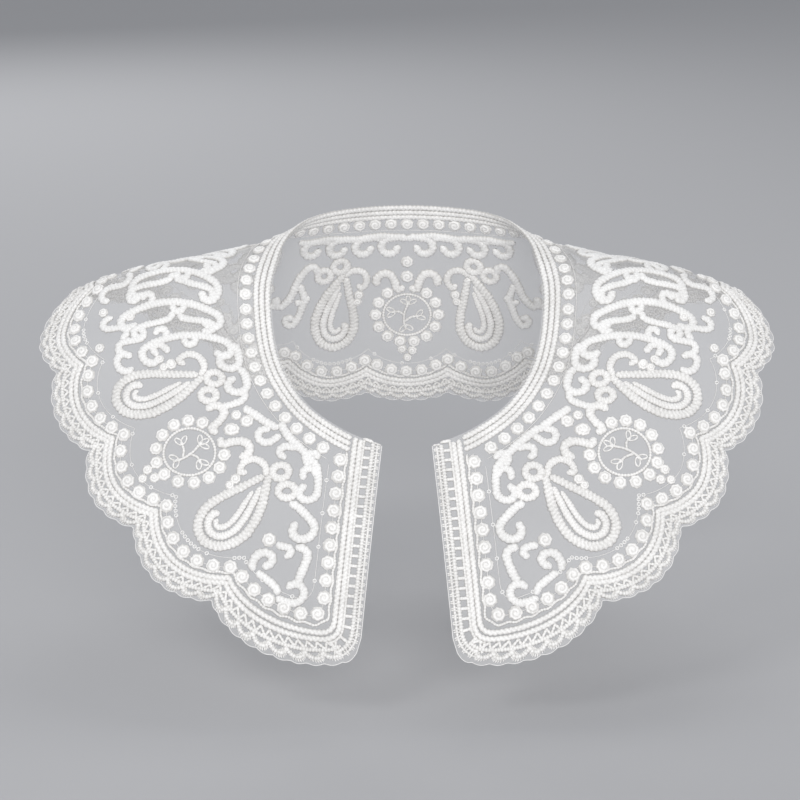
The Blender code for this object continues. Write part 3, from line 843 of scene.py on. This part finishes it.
def build_organza(material):
    """Sheer cloth from neck edge to scalloped hem, with its small picot scallops."""
    j = np.linspace(-FRONT_J, FRONT_J, CLOTH_COLUMNS)
    edge_v = hem_v(j, 0.0)
    spots, _ = surface(j, edge_v)
    reach = arc_lengths(spots)
    waves = round(reach[-1] / PICOT_PITCH)
    ripple = np.abs(np.sin(np.pi * waves * reach / reach[-1]))
    edge_v = edge_v + (PICOT_RISE * ripple - PICOT_SET_IN) / depth(j)
    from_front = np.minimum(reach, reach[-1] - reach)
    cut = np.clip(1 - from_front / CORNER_RADIUS, 0, 1)
    edge_v -= CORNER_RADIUS * (1 - np.sqrt(1 - cut**2)) / depth(j)
    rows = CLOTH_ROWS
    share = np.linspace(0, 1, rows + 1)
    grid_j = np.repeat(j[:, None], rows + 1, axis=1)
    grid_v = edge_v[:, None] * share[None, :]
    verts, _ = surface(grid_j.ravel(), grid_v.ravel())
    i = np.arange(len(j) - 1)[:, None]
    k = np.arange(rows)[None, :]
    faces = np.stack(np.broadcast_arrays(
        i * (rows + 1) + k, i * (rows + 1) + k + 1, (i + 1) * (rows + 1) + k + 1,
        (i + 1) * (rows + 1) + k), axis=-1).reshape(-1, 4)
    parts = [(verts, faces, np.ones(len(verts)))]
    cloth = piece("organza", parts, material, "organza", "ground_cloth")
    down = np.linspace(0.0, edge_v[0], FRONT_SAMPLES)
    up = np.linspace(edge_v[-1], 0.0, FRONT_SAMPLES)
    outline = np.vstack((
        np.stack((np.full(FRONT_SAMPLES, -FRONT_J), down), axis=1)[:-1],
        np.stack((j, edge_v), axis=1),
        np.stack((np.full(FRONT_SAMPLES, FRONT_J), up), axis=1)[1:]))
    cell = np.linalg.norm(np.cross(
        verts[faces[:, 2]] - verts[faces[:, 0]], verts[faces[:, 3]] - verts[faces[:, 1]]), axis=1)
    return cloth, outline, float(cell.sum() / 2) * MM**2


# The neck rows come lower towards the fronts, from this j and over so many scallops
LOWERED_FROM_J = 1.5
LOWERED_OVER_J = 5.0


def neck_line(inset, from_front, at_front=0.0):
    """Path at an inset from the neck edge, clear of both fronts, and lower towards them."""
    j = np.linspace(-FRONT_J, FRONT_J, CLOTH_COLUMNS)
    lower = at_front * np.clip((np.abs(j) - LOWERED_FROM_J) / LOWERED_OVER_J, 0, 1)
    jv = np.stack((j, (inset + lower) / depth(j)), axis=1)
    reach = arc_lengths(surface(*jv.T)[0])
    return jv[(reach >= from_front) & (reach <= reach[-1] - from_front)]


def border_line(inset, clear):
    """Path along the border at an inset, clear of the neck edge at both ends."""
    jv = on_border(np.arange(BORDER.shape[1] - 1), inset)
    reach = arc_lengths(surface(*jv.T)[0])
    return jv[(reach >= clear) & (reach <= reach[-1] - clear)]


def spaced(jv, pitch):
    """Evenly spaced places on a path, half a pitch from its ends."""
    spots, _ = surface(*jv.T)
    reach = arc_lengths(spots)
    count = max(1, round(reach[-1] / pitch))
    goals = reach[-1] * (np.arange(count) + 0.5) / count
    return np.stack((np.interp(goals, reach, jv[:, 0]), np.interp(goals, reach, jv[:, 1])), axis=1)


def disc_row(jv, radius, turn):
    """Rosettes along a path, each turned a little from the last."""
    return [disc(spot, radius, turn=turn * i) for i, spot in enumerate(spaced(jv, DISC_PITCH))]


def crossing(t, inner, outer, lean=0.0):
    """Short path square across the border at station t, with a lean in mm at its outer end."""
    spots, _ = surface(*on_border(np.array((t - 0.5, t + 0.5, t)), outer).T)
    start, _ = surface(*on_border(np.array((t,)), inner).T)
    along = spots[1] - spots[0]
    slide = np.dot(spots[2] - start[0], along) / np.dot(along, along)
    outer_t = t - slide + lean / np.linalg.norm(along)
    return on_border(np.array((t, outer_t)), np.array((inner, outer)))


def zigzag(t, inner, outer):
    """Path that goes between two insets from station to station."""
    insets = np.where(np.arange(len(t)) % 2 == 0, inner, outer)
    return on_border(t, insets)


def fringe(t, inner, outer, lean):
    """Short stitches across the edge at stations t, every second one leaning the other way."""
    parts = []
    for i, at in enumerate(t):
        step = lean if i % 2 else -lean
        parts.append(cord(crossing(at, inner, outer, step), WISP, sides=5))
    return parts


# Lace edging: inset and pitch of its stitches, and how far in samples those of the fronts go
# past the corner, and those of the hem and its arcs before it
STITCH_INSET = 8.0
STITCH_PITCH = 2.4
FRONT_PAST = 6
HEM_BEFORE = 2
ARC_BEFORE = 4

# Hem: insets of the zigzag, of the line under it and of the arcs' feet, and form of an arc.
# A spoke is the place along the arc of its inner and outer end, and the inset of the outer end.
ZIGZAG = (9.6, 6.6)
ARC_LINE = 6.3
ARC_FEET = 6.0
ARC_RISE = 3.4
ARC_POWER = 0.75
ARC_SPREAD = 0.96
SPOKE_LENGTH = 3.2
SPOKES = (
    (0.5, 0.5, 0.5),
    (0.34, 0.24, 1.1),
    (0.66, 0.76, 1.1),
    (0.42, 0.37, 0.7),
    (0.58, 0.63, 0.7),
    (0.14, 0.08, 2.3),
    (0.86, 0.92, 2.3),
    (0.25, 0.16, 1.7),
    (0.75, 0.84, 1.7),
)

# Fronts: insets of the ends of the bars, then inset, yarn and sides of each line, then insets
# and lean of the fringe and how much denser than the stitches it is
BARS = (9.8, 4.4)
FRONT_LINES = ((9.2, THIN, 6), (4.5, FUZZY, 7), (2.2, THIN, 6))
FRONT_LINE_SAMPLES = 120
FRINGE = (4.2, 0.5, 0.5)
FRINGE_DENSITY = 1.5


def build_edging(material):
    """Open stitches between the band and the edge: ladder on the fronts, arcs on the hem."""
    parts = []
    turn = FRONT_STEPS
    last = BORDER.shape[1] - 1
    t = stations(STITCH_INSET, STITCH_PITCH)
    fronts = (t[t < turn + FRONT_PAST], t[t > last - turn - FRONT_PAST])
    hem = t[(t > turn - HEM_BEFORE) & (t < last - turn + HEM_BEFORE)]
    parts.append(cord(zigzag(hem, *ZIGZAG), STITCH, sides=6))
    parts.append(cord(on_border(hem, ARC_LINE), FUZZY, sides=7))
    feet = stations(ARC_LINE, PICOT_PITCH)
    share = np.linspace(0, 1, 13)
    rise = ARC_RISE * np.sin(np.pi * share) ** ARC_POWER
    along = 0.5 - 0.5 * np.cos(np.pi * share) * ARC_SPREAD
    for a, b in zip(feet[:-1], feet[1:]):
        if a < turn - ARC_BEFORE or b > last - turn + ARC_BEFORE:
            continue
        arc = on_border(a + (b - a) * along, ARC_FEET - rise)
        parts.append(cord(arc, FUZZY, sides=7))
        for inner, outer, inset in SPOKES:
            spoke = on_border(a + (b - a) * np.array((inner, outer)),
                              np.array((inset + SPOKE_LENGTH, inset)))
            parts.append(cord(spoke, WISP, sides=5))
    for side in fronts:
        for bar in side[::2]:
            parts.append(cord(crossing(bar, *BARS), RUNG, sides=6))
        line = np.linspace(side[0], side[-1], FRONT_LINE_SAMPLES)
        for inset, yarn, sides in FRONT_LINES:
            parts.append(cord(on_border(line, inset), yarn, sides=sides))
        dense = np.linspace(side[0], side[-1], round(FRINGE_DENSITY * len(side)))
        parts += fringe(dense, *FRINGE)
    return piece("edging", parts, material, "cord", "edge_picots")


# Bands and disc rows: insets of the cords, and how far in mm they stay from the neck edge or
# the fronts. The neck rows also come lower towards the fronts by the last value, in mm.
EDGE_BAND_INSETS = (11.0, 13.8)
EDGE_BAND_CLEAR = 1.0
EDGE_DISCS_CLEAR = 10.4
NECK_BAND_INSETS = (1.2, 4.0, 6.7)
NECK_BAND_CLEAR = (15.6, 1.0)
NECK_DISC_LINE = (10.8, 25.6, 2.2)
NECK_THREAD_LINE = (14.8, 27.0, 2.0)

# Discs of the rows: radius, and turn of the spiral from one to the next
EDGE_DISC = (3.5, 1.3)
NECK_DISC = (3.4, 0.9)

# Wavy line beside the edge discs: inset, pitch of its points, height of the waves, points per
# wave, and points left off at each end
WAVY_INSET = 16.9
WAVY_PITCH = 2.0
WAVY_HEIGHT = 0.45
WAVY_POINTS = 4.15
WAVY_OFF = 5

# Height of fine threads over the cloth, and sequins: height, pitch, radius, one in so many
THREAD_LIFT = 0.3
SEQUIN_THREAD_LIFT = 0.25
SEQUIN_CLEAR = 20.0
SEQUIN_PITCH = 2.3
SEQUIN_RADIUS = 0.82
SEQUIN_EVERY = 7


def build_borders(cord_white, thread_white):
    """Bands, disc rows and thin lines along the neck, the fronts and the hem."""
    made = []
    made.append(piece(
        "edge_band_yarn",
        [cord(border_line(inset, EDGE_BAND_CLEAR), CHAIN) for inset in EDGE_BAND_INSETS],
        cord_white, "cord", "edge_band"))
    row = border_line(DISC_INSET, EDGE_DISCS_CLEAR)
    discs = disc_row(row, *EDGE_DISC)
    reach = stations(WAVY_INSET, WAVY_PITCH)
    waves = np.sin(2 * np.pi * np.arange(len(reach)) / WAVY_POINTS)
    wavy = on_border(reach, WAVY_INSET + WAVY_HEIGHT * waves)
    discs.append(cord(wavy[WAVY_OFF:-WAVY_OFF], THIN, sides=6))
    discs.append(cord(row, THREAD, sides=4, lift=THREAD_LIFT))
    made.append(piece("edge_discs_yarn", discs, cord_white, "cord", "edge_discs"))
    made.append(piece(
        "neck_band_yarn",
        [cord(neck_line(inset, *NECK_BAND_CLEAR), CHAIN) for inset in NECK_BAND_INSETS],
        cord_white, "cord", "neck_band"))
    discs = disc_row(neck_line(*NECK_DISC_LINE), *NECK_DISC)
    discs.append(cord(neck_line(*NECK_THREAD_LINE), THREAD, sides=4, lift=THREAD_LIFT))
    made.append(piece("neck_discs_yarn", discs, cord_white, "cord", "neck_discs"))
    line = border_line(SEQUIN_INSET, SEQUIN_CLEAR)
    sequins = [cord(line, THREAD, sides=4, lift=SEQUIN_THREAD_LIFT)]
    for i, jv in enumerate(spaced(line, SEQUIN_PITCH)):
        close = any(low < abs(jv[0]) < high for low, high in SEQUIN_RUNS)
        if close or i % SEQUIN_EVERY == SEQUIN_EVERY // 2:
            ring = laid(jv, ring_shape(0, 0, SEQUIN_RADIUS, count=10))
            sequins.append(cord(ring, SEQUIN, closed=True, sides=5, lift=THREAD_LIFT))
    made.append(piece("sequins", sequins, thread_white, "cord"))
    return made


def motif(anchor, table, turn, spread=1.0):
    """(j, v) path and widths of a local table of a, b and half width."""
    curve = smooth_curve(table)
    return laid(anchor, curve[:, :2] * (turn * spread, 1)), curve[:, 2]


def build_paisley(name, j, v, turn, spread, material):
    """Beaded rim, two combed cords inside, loops and a curl at the tip with its pendant."""
    anchor = (j, v)
    parts = []
    for table, yarn in ((PAISLEY_RIM, BEADED), (PAISLEY_OUTER_HOOK, COMBED),
                        (PAISLEY_INNER_HOOK, COMBED), (PAISLEY_CROWN, COMBED)):
        path, widths = motif(anchor, table, turn, spread)
        parts.append(cord(path, yarn, widths=widths))
    for a, b, radius in PAISLEY_LOOPS:
        ring = laid(anchor, ring_shape(turn * a * spread, b, radius))
        parts.append(cord(ring, COMBED, closed=True))
    for i, (a, b, radius) in enumerate(PAISLEY_PENDANTS):
        spot = laid(anchor, ((turn * a * spread, b),))[0]
        parts.append(disc(spot, radius, turn=i))
    where, side = name.split("_")
    nodes = [f"paisley_{part}_{where}_{side}" for part in ("rim", "hook", "crown")]
    return piece(f"paisley_{name}_yarn", parts, material, "cord", *nodes)


def build_medallion(name, j, v, material):
    """Thin ring with rosettes round it, loops above, and a small sprig in the middle."""
    anchor = (j, v)
    parts = [cord(laid(anchor, ring_shape(0, 0, MEDALLION_RING)), THIN, closed=True, sides=8)]
    for i in range(MEDALLION_DISCS):
        share = i / (MEDALLION_DISCS - 1) - 0.5
        angle = math.radians(90 + MEDALLION_DISC_ARC * share)
        spot = laid(anchor, ((MEDALLION_DISC_RING * math.cos(angle),
                              MEDALLION_DISC_RING * math.sin(angle)),))[0]
        parts.append(disc(spot, MEDALLION_DISC_RADIUS, turn=i))
    for turn in (1, -1):
        path, widths = motif(anchor, MEDALLION_ARCHES, turn)
        parts.append(cord(path, SLIM, widths=widths * MEDALLION_ARCH_WIDENING))
    for a, b, radius in MEDALLION_EXTRAS:
        parts.append(disc(laid(anchor, ((a, b),))[0], radius))
    for a, b in SPRIG_STEMS:
        parts.append(cord(laid(anchor, smooth_curve(np.stack((a, b), axis=1))), STITCH, sides=6))
    around = np.linspace(0, 2 * np.pi, 25)
    x, y = LEAF_LENGTH * (1 - np.cos(around)) / 2, LEAF_HALF_WIDTH * np.sin(around)
    for a, b, angle in SPRIG_LEAVES:
        c, s = math.cos(angle), math.sin(angle)
        leaf = np.stack((a + c * x - s * y, b + s * x + c * y), axis=1)
        parts.append(cord(laid(anchor, leaf), WISP, closed=True, sides=6))
    return piece(f"medallion_{name}_yarn", parts, material, "cord", f"medallion_{name}")


def build_scroll(name, j, below_neck, heading, stem, first, last, size, material):
    """Satin cord that curls up at both ends."""
    anchor = (j, below_neck / depth(j)[0])
    path = laid(anchor, scroll_shape(heading, stem / size, first, last) * size)
    nodes = [f"scroll_{name}"] if f"scroll_{name}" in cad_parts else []
    return piece(f"scroll_{name}_yarn", [cord(path, SATIN)], material, "cord", *nodes)


def build_garland(material):
    """Running scrolls below the neck discs, at the back and beside the fronts."""
    j = np.linspace(-GARLAND_END_J, GARLAND_END_J, 801)
    line = np.stack((j, GARLAND_INSET / depth(j)), axis=1)
    heading, stem, first, last = GARLAND_UNIT
    parts = []
    for place in spaced(line, GARLAND_PITCH):
        if GARLAND_GAP[0] < abs(place[0]) < GARLAND_GAP[1]:
            continue
        shape = scroll_shape(heading, stem, first, last)
        if place[0] < 0:
            shape = shape * (-1, 1)
        parts.append(cord(laid(place, shape), SATIN))
    for side in (-1, 1):
        run_j = side * np.linspace(RUN_START_J, GARLAND_GAP[0], 81)
        run_b = GARLAND_INSET - RUN_ABOVE + RUN_WAVE * np.cos(2 * np.pi * run_j / RUN_WAVE_J)
        parts.append(cord(np.stack((run_j, run_b / depth(run_j)), axis=1), SLIM))
    return piece("neck_garland_yarn", parts, material, "cord", "neck_garland")


def build_spots(material):
    """Small rosettes between the scrolls."""
    parts = []
    for j, b, radius in SPOTS:
        for side in (-1, 1):
            parts.append(disc((side * j, b / depth(j)[0]), radius, turn=j))
    return piece("spots", parts, material, "cord")


def build_fillers(material):
    """Short scrolls between the others, and a curl that branches off each vine."""
    parts = []
    vines = [row for row in SCROLLS if row[0].startswith("vine")]
    rows = list(FILLERS)
    for _, j, below_neck, _, stem, _, _, _ in vines[1:]:
        for share, heading, short_stem, curl, size in BRANCHES:
            rows.append((j, below_neck + share * stem, heading, short_stem, 0, curl, size))
    for j, b, heading, stem, first, last, size in rows:
        shape = scroll_shape(heading, stem / size, first, last) * size
        for side in (-1, 1):
            anchor = (side * j, b / depth(j)[0])
            parts.append(cord(laid(anchor, shape * (side, 1)), SLIM))
    return piece("fillers", parts, material, "cord")


def build_all():
    """All pieces of the collar."""
    # Each yarn: name, pale colour, painted shade colour that its ramp darkens towards, fibre
    # scale, roughness
    cord_white = yarn_material("cord", (0.92, 0.905, 0.885), (0.40, 0.385, 0.36), 1500.0, 0.62)
    satin_white = yarn_material("satin", (0.93, 0.92, 0.905), (0.44, 0.425, 0.40), 1800.0, 0.5)
    cloth, outline, area = build_organza(organza_material())
    made = [piece("edge_wire", [cord(outline, THREAD, sides=6)], satin_white, "cord")]
    made += build_borders(cord_white, satin_white)
    made.append(build_edging(cord_white))
    for row in PAISLEYS:
        made.append(build_paisley(*row, cord_white))
    for row in MEDALLIONS:
        made.append(build_medallion(*row, cord_white))
    made.append(build_garland(satin_white))
    made.append(build_spots(cord_white))
    made.append(build_fillers(satin_white))
    for name, j, below_neck, heading, stem, first, last, size in SCROLLS:
        made.append(build_scroll(
            f"{name}_left", j, below_neck, heading, stem, first, last, size, satin_white))
        made.append(build_scroll(
            f"{name}_right", -j, below_neck, 180 - heading, stem, -first, -last, size,
            satin_white))


def area_light(name, place, target, size, power):
    """Soft square light that faces a point."""
    data = bpy.data.lights.new(name, "AREA")
    data.size = size
    data.energy = power
    obj = bpy.data.objects.new(name, data)
    obj.location = place
    obj.rotation_euler = (Vector(target) - Vector(place)).to_track_quat("-Z", "Y").to_euler()
    bpy.context.scene.collection.objects.link(obj)


def build_stage():
    """Plain floor, soft light and the camera."""
    scene = bpy.context.scene
    scene.view_settings.view_transform = "Standard"
    mesh = bpy.data.meshes.new("floor")
    corners = ((-1, -1), (1, -1), (1, 1), (-1, 1))
    mesh.from_pydata([(x * FLOOR_HALF, y * FLOOR_HALF, FLOOR_Z) for x, y in corners],
                     [], [(0, 1, 2, 3)])
    floor = bpy.data.objects.new("floor", mesh)
    scene.collection.objects.link(floor)
    material = bpy.data.materials.new("floor")
    material.use_nodes = True
    shader = material.node_tree.nodes["Principled BSDF"]
    shader.inputs["Base Color"].default_value = (*FLOOR_COLOUR, 1)
    shader.inputs["Roughness"].default_value = 0.9
    shader.inputs["Specular IOR Level"].default_value = 0.1
    mesh.materials.append(material)
    world = bpy.data.worlds.new("studio")
    world.use_nodes = True
    background = world.node_tree.nodes["Background"]
    background.inputs["Color"].default_value = (*WORLD_COLOUR, 1)
    background.inputs["Strength"].default_value = WORLD_STRENGTH
    scene.world = world
    for light in LIGHTS:
        area_light(*light)
    data = bpy.data.cameras.new("camera")
    data.lens = CAMERA_LENS
    data.sensor_width = 36.0
    data.shift_x, data.shift_y = CAMERA_SHIFT
    camera = bpy.data.objects.new("camera", data)
    tilt = math.radians(CAMERA_ELEVATION)
    camera.location = (0, -math.cos(tilt) * CAMERA_DISTANCE, math.sin(tilt) * CAMERA_DISTANCE)
    camera.rotation_euler = (math.pi / 2 - tilt, 0, 0)
    scene.collection.objects.link(camera)
    scene.camera = camera


build_all()
build_stage()
